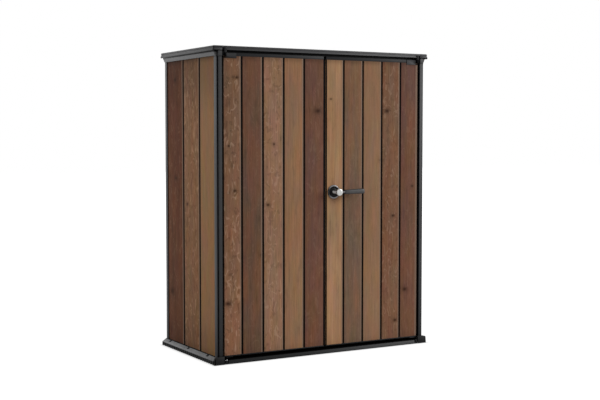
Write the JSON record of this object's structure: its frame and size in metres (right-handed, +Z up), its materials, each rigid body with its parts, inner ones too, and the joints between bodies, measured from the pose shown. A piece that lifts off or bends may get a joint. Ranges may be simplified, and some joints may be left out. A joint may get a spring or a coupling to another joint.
{
  "type": "garden storage cabinet",
  "caption": "Tall free-standing garden storage cabinet with plank-look walls, double doors, a lever latch and a flat roof.",
  "frame": {"origin": "on the ground, in the middle of the base", "axes": "+X along the front to the right, +Y from the front to the back, +Z up"},
  "size_m": [1.4, 0.7745, 1.7235],
  "materials": {
    "dark_trim": "dark grey moulded resin",
    "wood_planks": "moulded resin printed with brown wood grain",
    "pale_trim": "mid grey moulded resin",
    "bright_steel": "satin steel",
    "black_seal": "black edge seal"
  },
  "bodies": {
    "frame": {"floor_panel": "dark_trim", "back_joint_strip": "dark_trim", "header_beam": "dark_trim", "roof_panel": "dark_trim", "front_left_foot": "dark_trim", "front_left_post": "dark_trim", "front_left_post_cap": "dark_trim", "rear_left_post": "dark_trim", "left_wall": "wood_planks", "back_left_wall": "wood_planks", "left_eave_strip": "pale_trim", "upper_left_hinge_bracket": "dark_trim", "lower_left_hinge_bracket": "dark_trim", "front_right_foot": "dark_trim", "front_right_post": "dark_trim", "front_right_post_cap": "dark_trim", "rear_right_post": "dark_trim", "right_wall": "wood_planks", "back_right_wall": "wood_planks", "right_eave_strip": "pale_trim", "upper_right_hinge_bracket": "dark_trim", "lower_right_hinge_bracket": "dark_trim", "hinge_pins": "bright_steel", "hinge_washers": "bright_steel"},
    "left_door": {"left_door_panel": "wood_planks", "left_door_top_rail": "dark_trim", "left_door_bottom_rail": "dark_trim", "left_door_edge_seal": "black_seal", "upper_left_hinge_leaf": "dark_trim", "lower_left_hinge_leaf": "dark_trim", "keeper_plate": "bright_steel", "upper_bolt_guide": "bright_steel", "lower_bolt_guide": "bright_steel"},
    "right_door": {"right_door_panel": "wood_planks", "right_door_top_rail": "dark_trim", "right_door_bottom_rail": "dark_trim", "right_door_edge_seal": "black_seal", "upper_right_hinge_leaf": "dark_trim", "lower_right_hinge_leaf": "dark_trim", "handle_rosette": "dark_trim", "inner_rosette": "bright_steel"},
    "handle": {"handle_neck": "bright_steel", "handle_hub": "bright_steel", "handle_cap": "bright_steel", "handle_grip": "dark_trim", "handle_spindle": "bright_steel", "latch_tongue": "bright_steel", "spindle_nut": "bright_steel"},
    "upper_bolt": {"upper_bolt": "bright_steel"},
    "lower_bolt": {"lower_bolt": "bright_steel"}
  },
  "joints": [
    {"name": "left_door_hinge", "type": "hinge", "parent": "frame", "child": "left_door", "pos_m": [-0.628, -0.356, 0.86], "axis": [0, 0, -1], "range_deg": [0, 170]},
    {"name": "right_door_hinge", "type": "hinge", "parent": "frame", "child": "right_door", "pos_m": [0.628, -0.356, 0.86], "axis": [0, 0, 1], "range_deg": [0, 170]},
    {"name": "handle_turn", "type": "hinge", "parent": "right_door", "child": "handle", "pos_m": [0.0565, -0.345, 0.92], "axis": [0, 1, 0], "range_deg": [0, 90]},
    {"name": "upper_bolt_slide", "type": "slide", "parent": "left_door", "child": "upper_bolt", "axis": [0, 0, 1], "range_m": [0, 0.03]},
    {"name": "lower_bolt_slide", "type": "slide", "parent": "left_door", "child": "lower_bolt", "axis": [0, 0, -1], "range_m": [0, 0.03]}
  ]
}
